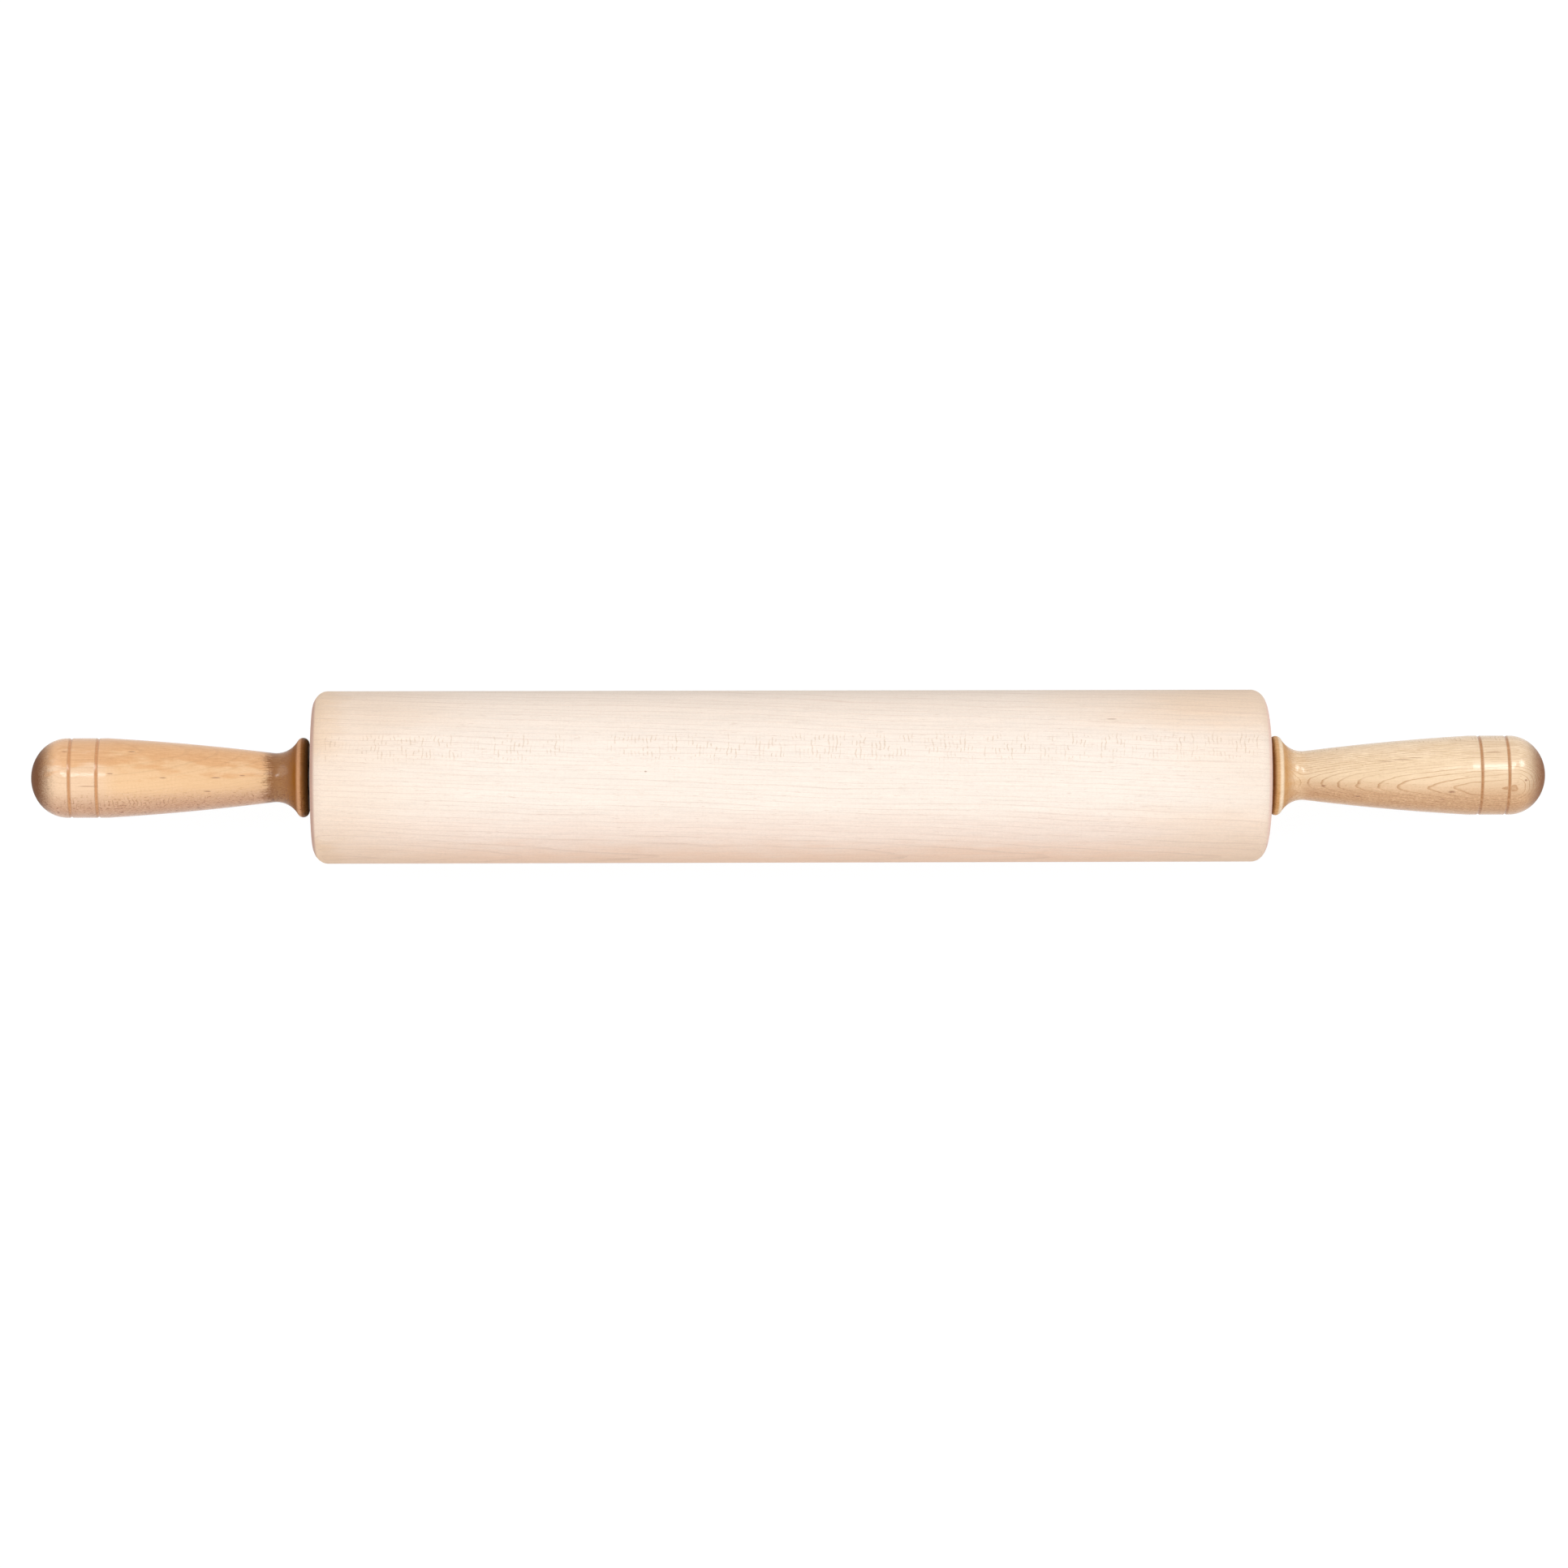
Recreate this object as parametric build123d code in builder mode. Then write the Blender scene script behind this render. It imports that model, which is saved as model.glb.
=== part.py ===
from build123d import *
from math import acos, degrees, radians, sqrt, tan
import os

# Roller rolling pin in millimetres. The maple barrel turns on two ball bearings round a steel rod,
# and a turned handle is driven onto each end of the rod.
# +X runs along the rod, +Z is up, and the origin is the middle of the barrel's axis.
# Each piece of the right-hand end is modelled in place, then mirrored for the left-hand end.

# Barrel, an 18 in by 3 1/4 in roller with eased rims
barrel_length = 457.2
barrel_diameter = 82.55
rim_ease_length = 7.2
rim_ease_depth = 9.2
barrel_bore = 16.0
seat_mouth_chamfer = 0.6

# Rod, with straight flutes on the ends that grip the handles
rod_diameter = 12.0
rod_end_chamfer = 0.8
flute_length = 58.0
flute_depth = 0.35
flute_count = 12

# Handles, each with a dome, a grooved band, a bellied grip, a cove at the neck and a bead for a collar
handle_diameter = 38.1
handle_length = 132.8
dome_length = 17.5
outer_groove_from_tip = 19.4
groove_spacing = 13.0
groove_width = 1.9
groove_depth = 0.5
band_end_from_tip = 37.0
neck_diameter = 23.5
cove_radius = 12.0
grip_end_slope = 7.2
bead_radius = 2.9
collar_gap = 1.6
handle_bore_depth = 70.0
rod_end_clearance = 1.0
drill_point_angle = 118.0

# Ball bearings, two shielded deep-groove bearings for the rod
bearing_diameter = 32.0
bearing_width = 10.0
bearing_recess = 1.0
shoulder_relief_diameter = 27.0
shoulder_relief_depth = 1.0
ring_edge_chamfer = 0.6
ball_count = 7
ball_diameter = 5.953
ball_pitch_diameter = 22.0
ball_clearance = 0.025
groove_radius_share = 0.525
inner_land_diameter = 18.3
outer_land_diameter = 25.9

# Ribbon cages, each welded from two pressed strips with a faceted pocket over every ball
cage_thickness = 0.4
cage_inner_diameter = 20.0
cage_outer_diameter = 24.0
pocket_clearance = 0.1
pocket_sides = 6

# Pressed shields, held in a step at each face of the outer ring
shield_thickness = 0.35
shield_inset = 0.25
shield_seat_diameter = 27.4
shield_gap = 0.2
shield_dish = 0.3
shield_dish_width = 1.2

# Nylon washers that space the collars from the inner rings
washer_diameter = 18.0
washer_thickness = 2.3
washer_bore_clearance = 0.1

# How far a cutting tool runs past what it cuts
cut_overrun = 1.0

# Places along the axis, counted from the middle of the barrel
barrel_radius = barrel_diameter / 2
barrel_end = barrel_length / 2
bearing_face = barrel_end - bearing_recess
bearing_x = bearing_face - bearing_width / 2
collar_face = barrel_end + collar_gap
handle_tip = collar_face + handle_length
rod_end = collar_face + handle_bore_depth - rod_end_clearance
rod_radius = rod_diameter / 2
ball_radius = ball_diameter / 2
pitch_radius = ball_pitch_diameter / 2

os.makedirs("parts", exist_ok=True)
bearing_plane = Plane.YZ.offset(bearing_x)


# Barrel
with BuildPart() as barrel:
    with BuildSketch(Plane.XY):
        with BuildLine():
            right_rim = EllipticalCenterArc(
                (barrel_end - rim_ease_length, barrel_radius - rim_ease_depth),
                rim_ease_length,
                rim_ease_depth,
                start_angle=0,
                arc_size=90,
            )
            left_rim = EllipticalCenterArc(
                (rim_ease_length - barrel_end, barrel_radius - rim_ease_depth),
                rim_ease_length,
                rim_ease_depth,
                start_angle=90,
                arc_size=90,
            )
            Line(right_rim @ 1, left_rim @ 0)
            Polyline(left_rim @ 1, (-barrel_end, 0), (barrel_end, 0), right_rim @ 0)
        make_face()
    revolve(axis=Axis.X)
    for facing in (1, -1):
        with Locations(Plane(origin=(facing * barrel_end, 0, 0), z_dir=(facing, 0, 0))):
            CounterBoreHole(
                radius=shoulder_relief_diameter / 2,
                counter_bore_radius=bearing_diameter / 2,
                counter_bore_depth=bearing_recess + bearing_width,
                depth=bearing_recess + bearing_width + shoulder_relief_depth,
            )
    with Locations(Plane(origin=(barrel_end, 0, 0), z_dir=(1, 0, 0))):
        Hole(radius=barrel_bore / 2)
    mouths = barrel.edges().filter_by(GeomType.CIRCLE).group_by(Axis.X)
    seat_mouths = [
        end.sort_by(SortBy.RADIUS)[0] for end in (mouths[0], mouths[-1])
    ]
    chamfer(seat_mouths, length=seat_mouth_chamfer)


# Rod
with BuildPart() as axle_rod:
    with BuildSketch(Plane.YZ.offset(-rod_end)):
        Circle(rod_radius)
    extrude(amount=2 * rod_end)
    chamfer(axle_rod.edges().filter_by(GeomType.CIRCLE), length=rod_end_chamfer)
    for flute_start in (-rod_end, rod_end - flute_length):
        with BuildSketch(Plane.YZ.offset(flute_start)):
            with PolarLocations(rod_radius, flute_count):
                Rectangle(flute_depth * sqrt(2), flute_depth * sqrt(2), rotation=45)
        extrude(amount=flute_length, mode=Mode.SUBTRACT)


# Right handle. The bead and the cove are arcs that touch, and the line between their centres turns by
# touch_angle from straight up, which sets how far the neck lies from the collar.
handle_radius = handle_diameter / 2
neck_radius = neck_diameter / 2
bead_x = collar_face + bead_radius
bead_height = handle_radius - bead_radius
cove_height = neck_radius + cove_radius
touch_angle = degrees(acos((cove_height - bead_height) / (cove_radius + bead_radius)))
neck_x = bead_x + sqrt((cove_radius + bead_radius) ** 2 - (cove_height - bead_height) ** 2)
band_end_x = handle_tip - band_end_from_tip
drill_point_length = rod_radius / tan(radians(drill_point_angle / 2))
with BuildPart() as handle:
    with BuildSketch(Plane.XY):
        with BuildLine():
            dome = EllipticalCenterArc(
                (handle_tip - dome_length, 0),
                dome_length,
                handle_radius,
                start_angle=0,
                arc_size=90,
            )
            band = Line(dome @ 1, (band_end_x, handle_radius))
            cove = CenterArc(
                (neck_x, cove_height),
                cove_radius,
                start_angle=grip_end_slope - 90,
                arc_size=-(grip_end_slope + touch_angle),
            )
            TangentArc(cove @ 0, band @ 1, tangent=-(cove % 0))
            bead = CenterArc(
                (bead_x, bead_height),
                bead_radius,
                start_angle=90 - touch_angle,
                arc_size=90 + touch_angle,
            )
            Polyline(
                bead @ 1,
                (collar_face, rod_radius),
                (collar_face + handle_bore_depth, rod_radius),
                (collar_face + handle_bore_depth + drill_point_length, 0),
                dome @ 0,
            )
        make_face()
        for groove_from_tip in (outer_groove_from_tip, outer_groove_from_tip + groove_spacing):
            with Locations((handle_tip - groove_from_tip, handle_radius)):
                Polygon(
                    (-groove_width / 2, 0),
                    (0, -groove_depth),
                    (groove_width / 2, 0),
                    (0, groove_depth),
                    mode=Mode.SUBTRACT,
                )
    revolve(axis=Axis.X)


# Right bearing rings, each grooved for the balls
race_radius = groove_radius_share * ball_diameter
outer_race_y = pitch_radius + ball_radius + ball_clearance - race_radius
inner_race_y = pitch_radius - ball_radius - ball_clearance + race_radius
shield_step = shield_inset + shield_thickness
with BuildPart() as outer_ring:
    with BuildSketch(Plane.XY) as outer_ring_section:
        with Locations((bearing_x, outer_land_diameter / 2)):
            Rectangle(
                bearing_width,
                (bearing_diameter - outer_land_diameter) / 2,
                align=(Align.CENTER, Align.MIN),
            )
        with Locations((bearing_x, outer_race_y)):
            Circle(race_radius, mode=Mode.SUBTRACT)
        for facing in (1, -1):
            with Locations((bearing_x + facing * (bearing_width - shield_step) / 2, 0)):
                Rectangle(
                    shield_step,
                    shield_seat_diameter / 2,
                    align=(Align.CENTER, Align.MIN),
                    mode=Mode.SUBTRACT,
                )
        outer_corners = outer_ring_section.vertices().group_by(Axis.Y)[-1]
        chamfer(outer_corners, length=ring_edge_chamfer)
    revolve(axis=Axis.X)

with BuildPart() as inner_ring:
    with BuildSketch(Plane.XY) as inner_ring_section:
        with Locations((bearing_x, rod_radius)):
            Rectangle(
                bearing_width,
                (inner_land_diameter - rod_diameter) / 2,
                align=(Align.CENTER, Align.MIN),
            )
        with Locations((bearing_x, inner_race_y)):
            Circle(race_radius, mode=Mode.SUBTRACT)
        inner_corners = inner_ring_section.vertices().group_by(Axis.Y)[0]
        chamfer(inner_corners, length=ring_edge_chamfer)
    revolve(axis=Axis.X)


# Right balls
with BuildPart(bearing_plane) as balls:
    with PolarLocations(pitch_radius, ball_count):
        Sphere(ball_radius)


# Right cage halves, a flat ring with a pocket pressed out over each ball
pocket_radius = ball_radius + pocket_clearance
ball_directions = [
    Vector(0, 1, 0).rotate(Axis.X, number * 360 / ball_count) for number in range(ball_count)
]
pocket_planes = [
    Plane(origin=bearing_plane.origin, x_dir=(1, 0, 0), z_dir=direction)
    for direction in ball_directions
]
with BuildPart() as cage_outer_half:
    with BuildSketch(bearing_plane) as cage_ring:
        Circle(cage_outer_diameter / 2)
        Circle(cage_inner_diameter / 2, mode=Mode.SUBTRACT)
    extrude(amount=cage_thickness)
    with BuildSketch(*pocket_planes):
        RegularPolygon(
            pocket_radius + cage_thickness,
            pocket_sides,
            major_radius=False,
            rotation=180 / pocket_sides,
        )
    extrude(amount=cage_outer_diameter / 2 + cut_overrun)
    extrude(cage_ring.sketch, amount=bearing_width / 2, mode=Mode.INTERSECT)
    with BuildSketch(*pocket_planes):
        RegularPolygon(
            pocket_radius,
            pocket_sides,
            major_radius=False,
            rotation=180 / pocket_sides,
        )
    extrude(amount=cage_outer_diameter / 2 + cut_overrun, mode=Mode.SUBTRACT)

with BuildPart() as cage_inner_half:
    mirror(cage_outer_half.part, about=bearing_plane)


# Right shields, thin discs whose inner edge is dished towards the cage
shield_lip_radius = inner_land_diameter / 2 + shield_gap
shield_rim_radius = shield_seat_diameter / 2
shield_face = bearing_face - shield_inset
with BuildPart() as shield_outer:
    with BuildSketch(Plane.XY):
        Polygon(
            (shield_face, shield_rim_radius),
            (shield_face, shield_lip_radius + shield_dish_width),
            (shield_face - shield_dish, shield_lip_radius),
            (shield_face - shield_dish - shield_thickness, shield_lip_radius),
            (shield_face - shield_thickness, shield_lip_radius + shield_dish_width),
            (shield_face - shield_thickness, shield_rim_radius),
            align=None,
        )
    revolve(axis=Axis.X)

with BuildPart() as shield_inner:
    mirror(shield_outer.part, about=bearing_plane)


# Right spacer washer
with BuildPart() as spacer_washer:
    with BuildSketch(Plane.YZ.offset(bearing_face)):
        Circle(washer_diameter / 2)
        Circle(rod_radius + washer_bore_clearance, mode=Mode.SUBTRACT)
    extrude(amount=washer_thickness)


# Single pieces, then each piece of the right-hand end with its mirror image
for name, piece in {"barrel": barrel, "axle_rod": axle_rod}.items():
    piece.part.label = name
    export_step(piece.part, f"parts/{name}.step")

end_pieces = {
    "handle": handle,
    "bearing_outer_ring": outer_ring,
    "bearing_inner_ring": inner_ring,
    "bearing_balls": balls,
    "cage_outer_half": cage_outer_half,
    "cage_inner_half": cage_inner_half,
    "shield_outer": shield_outer,
    "shield_inner": shield_inner,
    "spacer_washer": spacer_washer,
}
for name, piece in end_pieces.items():
    piece.part.label = f"right_{name}"
    export_step(piece.part, f"parts/right_{name}.step")
    with BuildPart() as left_piece:
        mirror(piece.part, about=Plane.YZ)
    left_piece.part.label = f"left_{name}"
    export_step(left_piece.part, f"parts/left_{name}.step")
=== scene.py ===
import bpy
from math import cos, radians, sin
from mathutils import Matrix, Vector


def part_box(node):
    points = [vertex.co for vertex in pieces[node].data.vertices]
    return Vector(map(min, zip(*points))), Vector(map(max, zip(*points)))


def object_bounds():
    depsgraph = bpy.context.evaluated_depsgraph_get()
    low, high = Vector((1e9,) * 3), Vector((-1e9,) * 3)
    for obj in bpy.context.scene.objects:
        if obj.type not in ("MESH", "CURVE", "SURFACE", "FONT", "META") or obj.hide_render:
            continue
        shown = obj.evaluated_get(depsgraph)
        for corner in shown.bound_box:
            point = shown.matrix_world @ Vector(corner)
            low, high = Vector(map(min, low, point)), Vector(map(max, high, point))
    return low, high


# Looks of the roller rolling pin. The turned pieces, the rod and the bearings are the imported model's own
# solids, so what is made here is their finish, the table, the light and the camera.
# Lengths in the scene are metres. Lengths inside the wood are millimetres.

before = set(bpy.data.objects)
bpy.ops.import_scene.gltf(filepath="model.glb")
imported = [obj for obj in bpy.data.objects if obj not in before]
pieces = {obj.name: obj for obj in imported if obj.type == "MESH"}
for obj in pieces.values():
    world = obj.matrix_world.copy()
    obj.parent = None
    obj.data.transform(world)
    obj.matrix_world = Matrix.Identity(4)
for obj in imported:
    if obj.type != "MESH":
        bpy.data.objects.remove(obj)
cad_low, cad_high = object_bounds()

# Camera, above the pin as it lies on a white table, a little to the left of its middle and turned to it.
# Its turn and roll are degrees.
IMAGE_PIXELS = 1932
FOCAL_PIXELS = 7750
SENSOR_MM = 36.0
CAMERA_AT = Vector((-0.079, -0.0034, 3.0154))
CAMERA_TURN = 1.444
CAMERA_ROLL = -0.12

# Table and surround. Rays that see them find white, and rays that light the pin find these softer levels.
TABLE_HALF_WIDTH = 3.0
TABLE_GREY = 0.12
TABLE_LIFT = 0.93
SURROUND = 0.34
SURROUND_SIDES = 1.58
SURROUND_BACK = 0.61
SURROUND_FRONT = 2.22
SURROUND_POWER = 4

# Millimetres in a metre, and the depth of the wood's relief in metres
MM = 1000.0
RELIEF_METRES = 0.0001

# Sizes of the marks in the wood, in millimetres along the grain, across it and outward from the pith
GRAIN_SIZES = {
    "fibre": (16, 0.55, 0.55),
    "streak": (90, 2.6, 2.6),
    "vessel": (5.0, 0.36, 0.36),
    "speckle": (1.3, 0.55, 0.55),
    "cloud": (70, 22, 22),
    "blotch": (16, 5, 5),
    "pit": (1.7, 0.7, 0.7),
    "ring_wander": (160, 30, 30),
    "ring_waver": (28, 7, 7),
    "ring_width": (9, 9, 9),
    "ring_break": (40, 5, 5),
    "ray_bend": (7, 3, 4.5),
    "ray_sheet": (3.2, 0.34, 4.2),
    "ray_cluster": (8.0, 30, 30),
}
RAY_PITCH = 1.9

# Places along the axis, in millimetres from the middle of the barrel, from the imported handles
GROOVES_FROM_TIP = (19.4, 32.4)
BAND_FROM_TIP = 37.0
handle_low, handle_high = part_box("right_handle")
COLLAR_FACE = handle_low.x * MM
HANDLE_TIP = handle_high.x * MM
GROOVES = [HANDLE_TIP - from_tip for from_tip in GROOVES_FROM_TIP]
BAND_END = HANDLE_TIP - BAND_FROM_TIP
BAND_BLUR = 8.0

# Ranges over which a tone comes in or goes out. Each is where it starts and where it ends, and where four
# values stand, the last two are the tone's strength at the start and at the end. The ones of the collar
# are millimetres from its face, and those of the groove are millimetres from its middle line.
# The first two ranges place a painted highlight on the collar's edge.
RIDGE_HIGHLIGHT_IN = (3.0, 4.2)
RIDGE_HIGHLIGHT_OUT = (4.7, 6.3, 1.0, 0.0)
# These two place painted light on the neck.
WAIST_HIGHLIGHT_IN = (10.5, 14.0)
WAIST_HIGHLIGHT_OUT = (15.0, 18.0, 1.0, 0.0)
WORN = (7.0, 10.0, 0.9, 0.0)
GROOVE = (0.40, 0.95, 0.85, 0.0)

# Barrel: its tones, its place in the log, and the ranges of its tones in millimetres. The ones across run
# from front to back, and the ones along run from left to right.
BARREL_TONES = {
    "cream": (0.955, 0.845, 0.750, 1.0),
    "tan": (0.94, 0.785, 0.665, 1.0),
    "pink": (0.95, 0.70, 0.57, 1.0),
    "rose": (0.95, 0.60, 0.40, 1.0),
    "amber": (0.88, 0.67, 0.50, 1.0),
    "honey": (0.84, 0.59, 0.38, 1.0),
    "line": (0.66, 0.46, 0.35, 1.0),
    "fleck": (0.74, 0.53, 0.36, 1.0),
    "mark": (0.36, 0.17, 0.08, 1.0),
    # Left rim: end grain with painted shade where it turns from the light
    "left_rim": (0.57, 0.36, 0.29, 1.0),
    "right_rim": (0.88, 0.63, 0.54, 1.0),
    "left_face": (0.72, 0.53, 0.38, 1.0),
    "right_face": (0.82, 0.64, 0.47, 1.0),
}
BARREL_CUT = {"quarter_angle": 20.0, "grain_slope": -2.0, "pith_distance": 120.0, "ring_width": 2.3}
BARREL_ACROSS = {
    "tan": (10.0, 36.0, 0.0, 0.55),
    "pink": (-10.0, -30.0, 0.0, 0.45),
    "rose": (-27.0, -42.0, 0.0, 0.60),
    "shoulder": (14.0, 34.0),
    "lower": (-8.0, -34.0),
    "behind_middle": (4.0, 16.0),
    "before_middle": (-24.0, -34.0),
}
BARREL_ALONG = {
    "left_amber": (-130.0, -225.0, 0.0, 0.50),
    "right_amber": (160.0, 228.0, 0.0, 0.30),
    "shoulder": (110.0, 205.0),
    "lower": (120.0, 225.0),
    "stain": (-208.0, -226.0),
    "right_half": (-1.0, 1.0),
}

# The tones of the barrel's rims and end faces come in as the surface turns to face along the axis, from 0
# on the side to 1 on an end. The rims are darker end grain, and the left rim's much darker tone is also
# painted shade where that rim turns from the light.
RIM = (0.72, 0.90)
END_FACE = (0.97, 0.999)

# Left handle: its tones, its place in the log, and the ranges of its tones. Front, back and end go by how
# far the surface faces that way, and the ranges near the collar are millimetres from the collar's face.
# Pits is how strongly the small pits in front show, and LEFT_GRAIN is how strongly the rings and fibres do.
# The front and back tones are partly the wood's own and partly painted shade along the handle's sides. Near
# the collar, the cove's dark tone is a darker collar tone under a painted shadow of the barrel. The
# near-black one at the collar's lip is painted shade of the gap by the barrel, the light one on the
# collar's edge is a painted highlight, and the lighter one at the neck is painted light.
LEFT_TONES = {
    "honey": (0.88, 0.56, 0.30, 1.0),
    "band": (0.88, 0.60, 0.38, 1.0),
    "front": (0.64, 0.35, 0.20, 1.0),
    "back": (0.78, 0.40, 0.165, 1.0),
    "line": (0.42, 0.19, 0.07, 1.0),
    "end": (0.19, 0.075, 0.03, 1.0),
    "flare_stain_and_shadow": (0.28, 0.095, 0.010, 1.0),
    "waist_highlight": (0.42, 0.20, 0.06, 1.0),
    "ridge_highlight": (0.66, 0.34, 0.17, 1.0),
    "bead": (0.085, 0.034, 0.006, 1.0),
    "groove": (0.66, 0.31, 0.12, 1.0),
    "mark": (0.36, 0.15, 0.07, 1.0),
}
LEFT_CUT = {"quarter_angle": -40.0, "grain_slope": 0.6, "pith_distance": 60.0, "ring_width": 1.6}
LEFT_REACH = {
    "front": (0.20, 0.85),
    "back": (0.10, 0.60, 0.0, 0.75),
    "end": (0.25, 0.84),
    "flare_stain_and_shadow": (17.0, 23.5, 0.94, 0.0),
    "bead": (0.6, 4.0, 1.0, 0.0),
    "pits": -0.48,
}
LEFT_GRAIN = 0.16

# Right handle, the same. Its cove tone is a darker collar tone with no painted shadow on it, and the tones
# at the collar's lip, edge and neck are painted as on the left.
RIGHT_TONES = {
    "honey": (0.905, 0.68, 0.445, 1.0),
    "band": (0.87, 0.645, 0.42, 1.0),
    "front": (0.66, 0.37, 0.18, 1.0),
    "back": (0.84, 0.62, 0.42, 1.0),
    "line": (0.50, 0.24, 0.09, 1.0),
    "end": (0.26, 0.105, 0.045, 1.0),
    "flare_stain_and_shadow": (0.76, 0.41, 0.15, 1.0),
    "waist_highlight": (0.88, 0.60, 0.34, 1.0),
    "ridge_highlight": (0.98, 0.79, 0.57, 1.0),
    "bead": (0.24, 0.085, 0.025, 1.0),
    "groove": (0.50, 0.22, 0.07, 1.0),
    "mark": (0.34, 0.14, 0.06, 1.0),
}
RIGHT_CUT = {"quarter_angle": 70.0, "grain_slope": 0.6, "pith_distance": 40.0, "ring_width": 1.05}
RIGHT_REACH = {
    "front": (0.0, 0.7),
    "back": (0.40, 0.95, 0.0, 0.30),
    "end": (0.27, 0.97),
    "flare_stain_and_shadow": (5.0, 15.0, 0.7, 0.0),
    "bead": (0.6, 2.6, 1.0, 0.0),
    "pits": -0.12,
}
RIGHT_GRAIN = 0.85

# Marks in the wood on the upper side. Each is x, y, half length and half width, in millimetres.
BARREL_MARKS = ((-69.5, 2.5, 0.7, 0.4), (152.0, 27.0, 2.8, 0.26))
LEFT_MARKS = (
    (-324.0, 2.0, 1.7, 0.30), (-299.0, 0.0, 1.9, 0.32), (-274.0, 0.0, 2.6, 0.36),
    (-261.5, 1.0, 1.5, 0.26), (-314.0, 12.5, 2.0, 0.26), (-278.0, -6.5, 2.0, 0.32),
    (-334.5, -4.0, 5.6, 0.24), (-346.0, 12.5, 1.4, 0.24),
)
RIGHT_MARKS = (
    (284.5, 6.7, 4.5, 0.20), (292.0, 7.5, 5.5, 0.22), (299.0, 8.3, 4.0, 0.18),
    (316.0, -8.0, 1.9, 0.60), (255.0, -5.0, 1.3, 0.45), (271.5, -10.0, 1.2, 0.40),
    (312.0, -11.5, 1.2, 0.30), (351.5, -2.5, 0.8, 0.60), (336.0, 11.0, 4.5, 0.20),
)


class Graph:
    """Adds nodes to one shader tree. Each call gives the socket that the next one takes."""

    def __init__(self, tree):
        self.tree = tree
        tree.nodes.clear()

    def node(self, kind, inputs=None, output=0, **settings):
        made = self.tree.nodes.new(kind)
        for name, value in settings.items():
            setattr(made, name, value)
        for name, value in (inputs or {}).items():
            if isinstance(value, bpy.types.NodeSocket):
                self.tree.links.new(value, made.inputs[name])
            else:
                made.inputs[name].default_value = value
        return made.outputs[output] if made.outputs else made

    def math(self, operation, a, b=0.0, clamp=False):
        return self.node("ShaderNodeMath", {0: a, 1: b}, operation=operation, use_clamp=clamp)

    def add(self, *values):
        total = values[0]
        for value in values[1:]:
            total = self.math("ADD", total, value)
        return total

    def times(self, *values):
        total = values[0]
        for value in values[1:]:
            total = self.math("MULTIPLY", total, value)
        return total

    def stretch(self, vector, lengths):
        """The vector measured in these lengths, one for each axis"""
        return self.node(
            "ShaderNodeVectorMath",
            {0: vector, 1: tuple(1.0 / length for length in lengths)},
            operation="MULTIPLY",
        )

    def scale(self, vector, factor):
        return self.node("ShaderNodeVectorMath", {0: vector, "Scale": factor}, operation="SCALE")

    def turn(self, vector, degrees, axis):
        return self.node(
            "ShaderNodeVectorRotate",
            {"Vector": vector, "Angle": radians(degrees)},
            rotation_type=axis,
        )

    def noise(self, vector, detail=2.0, roughness=0.5):
        return self.node(
            "ShaderNodeTexNoise",
            {"Vector": vector, "Scale": 1.0, "Detail": detail, "Roughness": roughness},
        )

    def swing(self, vector, detail=2.0, roughness=0.5):
        """Noise from about -1 to 1"""
        return self.node(
            "ShaderNodeMapRange",
            {"Value": self.noise(vector, detail, roughness), 1: 0.25, 2: 0.75, 3: -1.0, 4: 1.0},
            clamp=False,
        )

    def ease(self, value, low, high, at_low=0.0, at_high=1.0):
        """A smooth step from at_low to at_high as value goes from low to high"""
        return self.node(
            "ShaderNodeMapRange",
            {"Value": value, 1: low, 2: high, 3: at_low, 4: at_high},
            interpolation_type="SMOOTHSTEP",
        )

    def blend(self, factor, first, second):
        """From the first colour to the second. The sockets for colours go by number."""
        return self.node("ShaderNodeMix", {0: factor, 6: first, 7: second}, output=2, data_type="RGBA")

    def join(self, x, y, z):
        return self.node("ShaderNodeCombineXYZ", {0: x, 1: y, 2: z})

    def split(self, vector):
        parts = self.node("ShaderNodeSeparateXYZ", {0: vector}).node
        return parts.outputs[0], parts.outputs[1], parts.outputs[2]

    def bump(self, height, strength):
        return self.node(
            "ShaderNodeBump", {"Height": height, "Strength": strength, "Distance": RELIEF_METRES}
        )

    def at_mm(self):
        """The place on the piece, in millimetres"""
        at_metres = self.node("ShaderNodeTexCoord", output="Object")
        return self.node("ShaderNodeVectorMath", {0: at_metres, 1: (MM, MM, MM)}, operation="MULTIPLY")


def material(name):
    """A new material and the graph that fills it"""
    made = bpy.data.materials.new(name)
    made.use_nodes = True
    return made, Graph(made.node_tree)


def surface(graph, colour, roughness, normal=None, **settings):
    """The shader and the output. Settings name the shader's other sockets."""
    inputs = {"Base Color": colour, "Roughness": roughness}
    if normal is not None:
        inputs["Normal"] = normal
    inputs.update({name.replace("_", " "): value for name, value in settings.items()})
    shader = graph.node("ShaderNodeBsdfPrincipled", inputs)
    graph.node("ShaderNodeOutputMaterial", {"Surface": shader})


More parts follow.
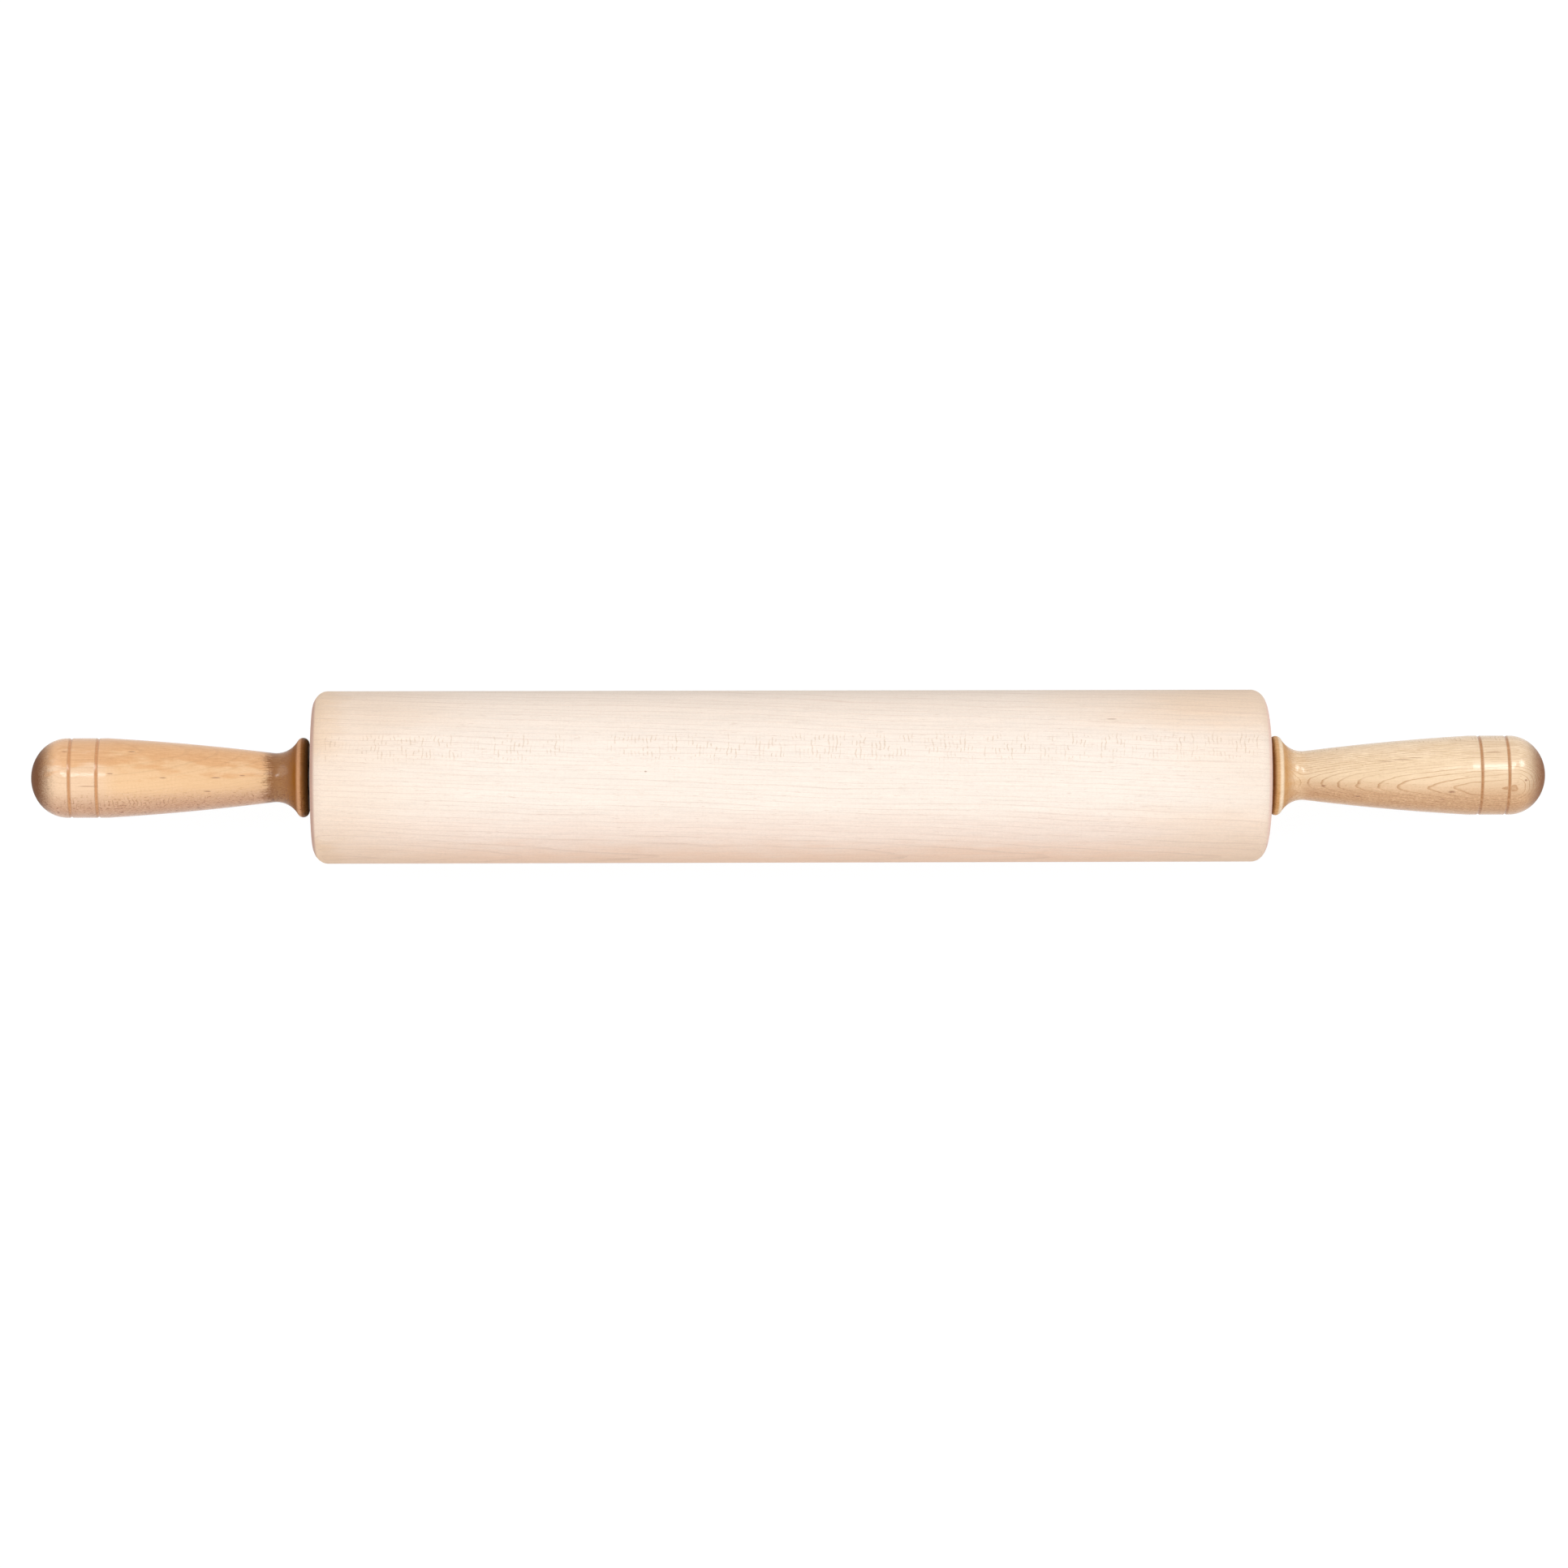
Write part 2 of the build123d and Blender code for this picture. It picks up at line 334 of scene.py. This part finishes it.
def growth_rings(graph, grain, pith_distance, ring_width):
    """Growth rings, uneven in width and gently wandering"""
    sizes = GRAIN_SIZES
    across, out = graph.split(grain)[1:]
    from_pith = graph.add(out, pith_distance)
    round_pith = graph.math(
        "SQRT", graph.add(graph.times(from_pith, from_pith), graph.times(across, across))
    )
    wander = graph.add(
        graph.times(graph.swing(graph.stretch(grain, sizes["ring_wander"])), 1.6),
        graph.times(graph.swing(graph.stretch(grain, sizes["ring_waver"]), 3), 0.28),
    )
    widths = graph.stretch(graph.join(0.0, 0.0, round_pith), sizes["ring_width"])
    uneven = graph.times(graph.swing(widths, 2), ring_width * 0.7)
    ring_count = graph.times(graph.add(round_pith, wander, uneven), 1.0 / ring_width)
    ring_place = graph.math("FRACT", ring_count)
    breaks = graph.noise(graph.stretch(grain, sizes["ring_break"]), 2)
    broken = graph.ease(breaks, 0.34, 0.58, 0.35, 1.0)
    return {
        "ring_shade": graph.node(
            "ShaderNodeTexWhiteNoise", {"W": graph.math("FLOOR", ring_count)}, noise_dimensions="1D"
        ),
        "late_line": graph.times(graph.ease(ring_place, 0.78, 0.97), broken),
    }


def grain_marks(graph, grain):
    """Fibres, vessels and uneven tone, all longer along the grain than across it"""
    sizes = GRAIN_SIZES
    vessels = graph.noise(graph.stretch(grain, sizes["vessel"]), 1)
    pits = graph.noise(graph.stretch(grain, sizes["pit"]), 1)
    return {
        "fibre": graph.swing(graph.stretch(grain, sizes["fibre"]), 4, 0.65),
        "streak": graph.swing(graph.stretch(grain, sizes["streak"]), 4, 0.55),
        "vessel": graph.ease(vessels, 0.65, 0.76),
        "speckle": graph.swing(graph.stretch(grain, sizes["speckle"]), 3, 0.75),
        "cloud": graph.swing(graph.stretch(grain, sizes["cloud"]), 3),
        "blotch": graph.swing(graph.stretch(grain, sizes["blotch"]), 3),
        "pit": graph.ease(pits, 0.60, 0.72),
    }


def rays(graph, grain, quartered):
    """Rays, thin sheets that run outward from the pith. Where the surface lies along them they show as
    short ticks across the grain, in clusters, and elsewhere only as faint dashes."""
    sizes = GRAIN_SIZES
    along = graph.split(grain)[0]
    bend = graph.times(graph.swing(graph.stretch(grain, sizes["ray_bend"]), 2), 0.4)
    ray_place = graph.math("FRACT", graph.add(graph.times(along, 1.0 / RAY_PITCH), bend))
    from_ray = graph.math("ABSOLUTE", graph.math("SUBTRACT", ray_place, 0.5))
    tick = graph.ease(from_ray, 0.28, 0.44, -0.12, 1.0)
    sheets = graph.noise(graph.stretch(grain, sizes["ray_sheet"]), 1)
    sheet = graph.ease(sheets, 0.46, 0.58)
    clusters = graph.noise(graph.stretch(grain, sizes["ray_cluster"]), 1)
    cluster = graph.ease(clusters, 0.37, 0.54, 0.15, 1.0)
    flat_on = graph.ease(quartered, 0.982, 0.996, 0.14, 1.0)
    return graph.times(sheet, tick, cluster, flat_on)


def wood(graph, quarter_angle, grain_slope, pith_distance, ring_width):
    """Masks of one piece of maple, cut from a log whose rings and rays run through the whole piece.
    The rays lie flat in the surface where it faces quarter_angle from straight up, towards the back."""
    at = graph.at_mm()
    grain = graph.turn(graph.turn(at, 90 + quarter_angle, "X_AXIS"), grain_slope, "Y_AXIS")
    facing = graph.node("ShaderNodeTexCoord", output="Normal")
    facing_x, facing_y = graph.split(facing)[:2]
    facing_turned = graph.turn(facing, 90 + quarter_angle, "X_AXIS")
    quartered = graph.math("ABSOLUTE", graph.split(facing_turned)[1])
    return {
        "at": at,
        "end_grain": graph.math("ABSOLUTE", facing_x),
        "facing_y": facing_y,
        "ray": rays(graph, grain, quartered),
        **growth_rings(graph, grain, pith_distance, ring_width),
        **grain_marks(graph, grain),
    }


def shaded(graph, colour, *shades):
    """The colour made lighter or darker by the sum of (mask, strength) pairs"""
    light = graph.add(1.0, *(graph.times(mask, strength) for mask, strength in shades))
    return graph.scale(colour, light)


def deepened(graph, colour, *shades):
    """As shaded, with the darker parts also redder, as under lacquer"""
    shade = graph.add(*(graph.times(mask, strength) for mask, strength in shades))
    contrast = graph.add(1.0, graph.times(shade, -1.1))
    redder = graph.node("ShaderNodeGamma", {"Color": colour, "Gamma": contrast})
    return graph.scale(redder, graph.add(1.0, graph.times(shade, 0.65)))


def marked(graph, at, marks):
    """1 on the marks of the upper side, 0 elsewhere"""
    upper = graph.ease(graph.split(at)[2], 0.0, 1.0)
    mask = 0.0
    for x, y, half_length, half_width in marks:
        off = graph.node("ShaderNodeVectorMath", {0: at, 1: (x, y, 0.0)}, operation="SUBTRACT")
        shape = (1.0 / half_length, 1.0 / half_width, 0.0)
        reach = graph.node("ShaderNodeVectorMath", {0: off, 1: shape}, operation="MULTIPLY")
        far = graph.node("ShaderNodeVectorMath", {0: reach}, output="Value", operation="LENGTH")
        mask = graph.math("MAXIMUM", mask, graph.ease(far, 0.4, 1.2, 1.0, 0.0))
    return graph.times(mask, upper)


def barrel_ground(graph, masks):
    """The barrel's colour: cream in the middle, tan behind, pink in front and amber towards the ends"""
    tones, across, along = BARREL_TONES, BARREL_ACROSS, BARREL_ALONG
    x, y = graph.split(masks["at"])[:2]
    wavy = graph.add(y, graph.times(masks["streak"], 1.6), graph.times(masks["blotch"], 2.0))
    drift = graph.add(x, graph.times(masks["cloud"], 22.0), graph.times(masks["streak"], 5.0))
    colour = graph.blend(graph.ease(wavy, *across["tan"]), tones["cream"], tones["tan"])
    colour = graph.blend(graph.ease(wavy, *across["pink"]), colour, tones["pink"])
    colour = graph.blend(graph.ease(wavy, *across["rose"]), colour, tones["rose"])
    colour = graph.blend(graph.ease(drift, *along["left_amber"]), colour, tones["amber"])
    colour = graph.blend(graph.ease(drift, *along["right_amber"]), colour, tones["amber"])

    shoulder = graph.times(graph.ease(drift, *along["shoulder"]), graph.ease(wavy, *across["shoulder"]))
    colour = graph.blend(graph.times(shoulder, 0.80), colour, tones["amber"])
    off_middle = graph.math(
        "MAXIMUM", graph.ease(wavy, *across["behind_middle"]), graph.ease(wavy, *across["before_middle"])
    )
    ragged = graph.add(x, graph.times(masks["streak"], 4.0), graph.times(masks["blotch"], 4.0))
    stain = graph.times(graph.ease(ragged, *along["stain"]), off_middle)
    colour = graph.blend(graph.times(stain, 0.50), colour, tones["honey"])
    lower = graph.times(graph.ease(drift, *along["lower"]), graph.ease(wavy, *across["lower"]))
    return graph.blend(graph.times(lower, 0.50), colour, tones["amber"])


def barrel_ends(graph, masks, colour):
    """The colour, with the eased rims and the end faces in tones of their own. The left rim's darker tone
    is end grain with painted shade in it.
    """
    tones = BARREL_TONES
    to_right = graph.ease(graph.split(masks["at"])[0], *BARREL_ALONG["right_half"])
    rim = graph.blend(to_right, tones["left_rim"], tones["right_rim"])
    face = graph.blend(to_right, tones["left_face"], tones["right_face"])
    colour = graph.blend(graph.ease(masks["end_grain"], *RIM), colour, rim)
    return graph.blend(graph.ease(masks["end_grain"], *END_FACE), colour, face)


def barrel_figure(graph, masks, colour):
    """The colour, with the rings, vessels, flecks and marks of the wood in it"""
    tones = BARREL_TONES
    colour = graph.blend(graph.times(masks["late_line"], 0.30), colour, tones["line"])
    colour = graph.blend(graph.times(masks["vessel"], 0.40), colour, tones["line"])
    flecks = graph.math("MULTIPLY", masks["ray"], 0.46, clamp=True)
    colour = graph.blend(flecks, colour, tones["fleck"])
    marks = graph.times(marked(graph, masks["at"], BARREL_MARKS), 0.6)
    colour = graph.blend(marks, colour, tones["mark"])
    return shaded(
        graph,
        colour,
        (masks["fibre"], 0.056),
        (masks["streak"], 0.010),
        (masks["speckle"], 0.058),
        (graph.math("SUBTRACT", masks["ring_shade"], 0.5), 0.022),
        (masks["ray"], -0.05),
        (masks["cloud"], 0.014),
        (masks["blotch"], 0.010),
    )


def barrel_maple():
    """Bare sanded maple"""
    made, graph = material("barrel_bare_maple")
    masks = wood(graph, **BARREL_CUT)
    colour = barrel_ground(graph, masks)
    colour = barrel_ends(graph, masks, colour)
    colour = barrel_figure(graph, masks, colour)
    relief = graph.add(graph.times(masks["fibre"], 0.5), graph.times(masks["vessel"], -1.0))
    rough = graph.add(0.62, graph.times(masks["fibre"], 0.05))
    surface(graph, colour, rough, graph.bump(relief, 0.15), Specular_IOR_Level=0.3)
    return made


def handle_areas(graph, masks, reach):
    """Masks of the handle's areas: the front, the back, the end grain and the forms near the collar. The
    front and back tones are partly painted shade, and several near the collar are painted shade and light.
    """
    from_middle = graph.math("ABSOLUTE", graph.split(masks["at"])[0])
    from_collar = graph.math("SUBTRACT", from_middle, COLLAR_FACE)
    mottle = graph.times(graph.add(masks["speckle"], masks["fibre"]), 0.10)
    uneven = graph.add(mottle, graph.times(masks["cloud"], 0.06))
    to_front = graph.add(graph.times(masks["facing_y"], -1.0), mottle)
    to_back = graph.add(
        masks["facing_y"],
        graph.times(masks["streak"], 0.10),
        graph.times(masks["blotch"], 0.55),
    )
    near_collar = graph.add(
        from_collar,
        graph.times(uneven, 20.0),
        graph.times(masks["streak"], 1.0),
        graph.times(masks["blotch"], 2.0),
    )
    flare_stain_and_shadow = graph.ease(near_collar, *reach["flare_stain_and_shadow"])
    end = graph.ease(graph.add(masks["end_grain"], uneven), *reach["end"])
    worn = graph.math("MAXIMUM", graph.times(flare_stain_and_shadow, 0.20), graph.ease(from_collar, *WORN))
    return {
        "from_middle": from_middle,
        "front": graph.ease(to_front, *reach["front"]),
        "back": graph.ease(to_back, *reach["back"]),
        "end": end,
        "flare_stain_and_shadow": flare_stain_and_shadow,
        "ridge_highlight": graph.times(graph.ease(from_collar, *RIDGE_HIGHLIGHT_IN), graph.ease(from_collar, *RIDGE_HIGHLIGHT_OUT)),
        "waist_highlight": graph.times(graph.ease(near_collar, *WAIST_HIGHLIGHT_IN), graph.ease(near_collar, *WAIST_HIGHLIGHT_OUT)),
        "bead": graph.ease(from_collar, *reach["bead"]),
        "bare": graph.math("MAXIMUM", end, worn),
    }


def handle_colour(graph, masks, areas, tones, grain_strength, marks):
    """The handle's colour, each tone laid over the ones before it"""
    band = graph.ease(areas["from_middle"], BAND_END - BAND_BLUR, BAND_END + BAND_BLUR)
    colour = graph.blend(band, tones["honey"], tones["band"])
    # Front and back tones: partly the wood's own colour, partly painted shade along the handle's two sides.
    colour = graph.blend(areas["front"], colour, tones["front"])
    colour = graph.blend(areas["back"], colour, tones["back"])
    colour = graph.blend(graph.times(masks["late_line"], 0.85 * grain_strength), colour, tones["line"])
    colour = graph.blend(graph.times(masks["vessel"], 0.45 * grain_strength), colour, tones["line"])
    colour = graph.blend(areas["end"], colour, tones["end"])
    # Darker collar tone in the cove. On the left handle it also holds a painted shadow of the barrel.
    colour = graph.blend(areas["flare_stain_and_shadow"], colour, tones["flare_stain_and_shadow"])
    # A lighter patch at the neck: painted light.
    colour = graph.blend(graph.times(areas["waist_highlight"], 0.35), colour, tones["waist_highlight"])
    # A light strip on the collar's edge: painted highlight.
    colour = graph.blend(graph.times(areas["ridge_highlight"], 0.9), colour, tones["ridge_highlight"])
    # Near-black at the collar's lip by the barrel: painted shade of the gap, over a darker collar tone.
    colour = graph.blend(areas["bead"], colour, tones["bead"])
    for groove in GROOVES:
        off = graph.math("ABSOLUTE", graph.math("SUBTRACT", areas["from_middle"], groove))
        colour = graph.blend(graph.ease(off, *GROOVE), colour, tones["groove"])
    return graph.blend(graph.times(marked(graph, masks["at"], marks), 0.75), colour, tones["mark"])


def handle_maple(name, tones, cut, reach, grain_strength, marks):
    """Maple under a honey lacquer, darker on end grain, in the grooves, round the collar and in front. The
    darker tones in front and behind are partly painted shade. Round the collar they hold painted shade, a
    painted highlight and painted light, and on the left a painted shadow of the barrel.
    """
    made, graph = material(name)
    masks = wood(graph, **cut)
    areas = handle_areas(graph, masks, reach)
    colour = handle_colour(graph, masks, areas, tones, grain_strength, marks)
    colour = deepened(
        graph,
        colour,
        (masks["fibre"], 0.13 * grain_strength),
        (masks["streak"], 0.07 * grain_strength),
        (masks["speckle"], 0.045),
        (masks["ray"], -0.20),
        (masks["cloud"], 0.045),
        (graph.times(areas["front"], masks["speckle"]), 0.20),
        (graph.times(areas["front"], masks["pit"]), reach["pits"]),
        (graph.times(graph.ease(masks["facing_y"], 0.1, 0.6), masks["fibre"]), 0.10),
    )
    lacquer = graph.math("SUBTRACT", 1.0, graph.times(areas["bare"], 0.85))
    surface(
        graph, colour, 0.5, graph.bump(masks["fibre"], 0.06),
        Specular_IOR_Level=0.0, Coat_Weight=lacquer, Coat_Roughness=0.18, Coat_IOR=1.6,
    )
    return made


def steel(name, colour, roughness):
    """Machined steel, brushed along the turning marks"""
    made, graph = material(name)
    marks = graph.swing(graph.stretch(graph.at_mm(), (0.08, 4.0, 4.0)), 3)
    tone = graph.scale(colour, graph.add(1.0, graph.times(marks, 0.05)))
    surface(graph, tone, graph.add(roughness, graph.times(marks, 0.06)), Metallic=1.0)
    return made


def nylon(name, colour, roughness):
    """Moulded nylon"""
    made, graph = material(name)
    mottle = graph.swing(graph.stretch(graph.at_mm(), (1.5, 1.5, 1.5)), 3)
    tone = graph.scale(colour, graph.add(1.0, graph.times(mottle, 0.02)))
    surface(graph, tone, graph.add(roughness, graph.times(mottle, 0.05)), Subsurface_Weight=0.1)
    return made


def dress(piece, finish):
    """Every face of the piece takes the finish"""
    for slot in piece.material_slots:
        slot.material = finish


def seen_ray(graph):
    """1 for a ray that shows something to the camera, straight, mirrored or through glass.
    0 for a ray that lights."""
    ray = graph.node("ShaderNodeLightPath").node.outputs
    seen = graph.add(ray["Is Camera Ray"], ray["Is Glossy Ray"], ray["Is Transmission Ray"])
    return graph.math("MINIMUM", seen, 1.0)


def table():
    """A white table top under the barrel, clear from below"""
    corners = [
        (x * TABLE_HALF_WIDTH, y * TABLE_HALF_WIDTH, cad_low.z)
        for x, y in ((-1, -1), (1, -1), (1, 1), (-1, 1))
    ]
    mesh = bpy.data.meshes.new("table")
    mesh.from_pydata(corners, [], [(0, 1, 2, 3)])
    top = bpy.data.objects.new("table", mesh)
    bpy.context.scene.collection.objects.link(top)
    made, graph = material("table_white")
    paper = graph.node("ShaderNodeBsdfDiffuse", {"Color": (TABLE_GREY, TABLE_GREY, TABLE_GREY, 1.0)})
    lift = graph.node("ShaderNodeEmission", {"Strength": graph.times(seen_ray(graph), TABLE_LIFT)})
    lit = graph.node("ShaderNodeAddShader", {0: paper, 1: lift})
    clear = graph.node("ShaderNodeBsdfTransparent")
    from_below = graph.node("ShaderNodeNewGeometry", output="Backfacing")
    either = graph.node("ShaderNodeMixShader", {0: from_below, 1: lit, 2: clear})
    graph.node("ShaderNodeOutputMaterial", {"Surface": either})
    mesh.materials.append(made)


def surround():
    """White surround. Its light is strongest low down, in front of the pin, behind it and past its ends."""
    world = bpy.data.worlds.new("studio")
    world.use_nodes = True
    bpy.context.scene.world = world
    graph = Graph(world.node_tree)
    to_side, to_back = graph.split(graph.node("ShaderNodeTexCoord", output="Generated"))[:2]
    to_front = graph.times(to_back, -1.0)
    back = graph.math("POWER", graph.math("MAXIMUM", to_back, 0.0), SURROUND_POWER)
    front = graph.math("POWER", graph.math("MAXIMUM", to_front, 0.0), SURROUND_POWER)
    side = graph.math("POWER", graph.math("ABSOLUTE", to_side), SURROUND_POWER)
    light = graph.add(
        SURROUND,
        graph.times(side, SURROUND_SIDES),
        graph.times(back, SURROUND_BACK),
        graph.times(front, SURROUND_FRONT),
    )
    strength = graph.node("ShaderNodeMix", {0: seen_ray(graph), 2: light, 3: 1.0}, data_type="FLOAT")
    sky = graph.node("ShaderNodeBackground", {"Color": (1, 1, 1, 1), "Strength": strength})
    graph.node("ShaderNodeOutputWorld", {"Surface": sky})


def softbox(name, right, back, distance, width, height, power):
    """A rectangular lamp that faces the pin's middle from this many degrees right of straight above and
    back from it. Lengths are metres and power is watts."""
    lamp = bpy.data.lights.new(name, "AREA")
    lamp.shape = "RECTANGLE"
    lamp.size = width
    lamp.size_y = height
    lamp.energy = power
    holder = bpy.data.objects.new(name, lamp)
    turn = radians(right)
    rise = radians(back)
    holder.location = distance * Vector((sin(turn) * cos(rise), sin(rise), cos(turn) * cos(rise)))
    holder.rotation_euler = (-holder.location).to_track_quat("-Z", "Y").to_euler()
    bpy.context.scene.collection.objects.link(holder)


def camera():
    """The photograph's camera"""
    lens = bpy.data.cameras.new("camera")
    lens.sensor_width = SENSOR_MM
    lens.lens = SENSOR_MM * FOCAL_PIXELS / IMAGE_PIXELS
    holder = bpy.data.objects.new("camera", lens)
    holder.location = CAMERA_AT
    holder.rotation_euler = (0, -radians(CAMERA_TURN), radians(CAMERA_ROLL))
    bpy.context.scene.collection.objects.link(holder)
    bpy.context.scene.camera = holder


# Camera, table and light
camera()
table()
surround()
softbox("right_key", right=47, back=29, distance=4.0, width=1.10, height=1.00, power=24.6)
softbox("left_key", right=-45, back=28, distance=4.0, width=3.00, height=3.00, power=27)
softbox("left_strip", right=-17.5, back=11.4, distance=3.0, width=0.36, height=0.90, power=7.5)
softbox("right_strip", right=17.5, back=26, distance=3.0, width=0.36, height=1.20, power=10.5)

# Finishes of the wood
left_maple = handle_maple(
    "left_handle_lacquered_maple", LEFT_TONES, LEFT_CUT, LEFT_REACH, LEFT_GRAIN, LEFT_MARKS
)
right_maple = handle_maple(
    "right_handle_lacquered_maple", RIGHT_TONES, RIGHT_CUT, RIGHT_REACH, RIGHT_GRAIN, RIGHT_MARKS
)
dress(pieces["barrel"], barrel_maple())
dress(pieces["left_handle"], left_maple)
dress(pieces["right_handle"], right_maple)

# Finishes of the rod and of what each bearing holds
ring_finish = steel("ring_ground_steel", (0.66, 0.66, 0.65), roughness=0.16)
cage_finish = steel("cage_pressed_steel", (0.55, 0.54, 0.52), roughness=0.32)
shield_finish = steel("shield_pressed_steel", (0.58, 0.58, 0.57), roughness=0.26)
finishes = {
    "bearing_outer_ring": ring_finish,
    "bearing_inner_ring": ring_finish,
    "bearing_balls": steel("ball_polished_steel", (0.72, 0.72, 0.72), roughness=0.06),
    "cage_outer_half": cage_finish,
    "cage_inner_half": cage_finish,
    "shield_outer": shield_finish,
    "shield_inner": shield_finish,
    "spacer_washer": nylon("washer_moulded_nylon", (0.80, 0.78, 0.72), roughness=0.42),
}
dress(pieces["axle_rod"], steel("rod_bright_steel", (0.62, 0.61, 0.60), roughness=0.22))
for side in ("left", "right"):
    for part, finish in finishes.items():
        dress(pieces[f"{side}_{part}"], finish)

bpy.context.scene.view_settings.view_transform = "Standard"
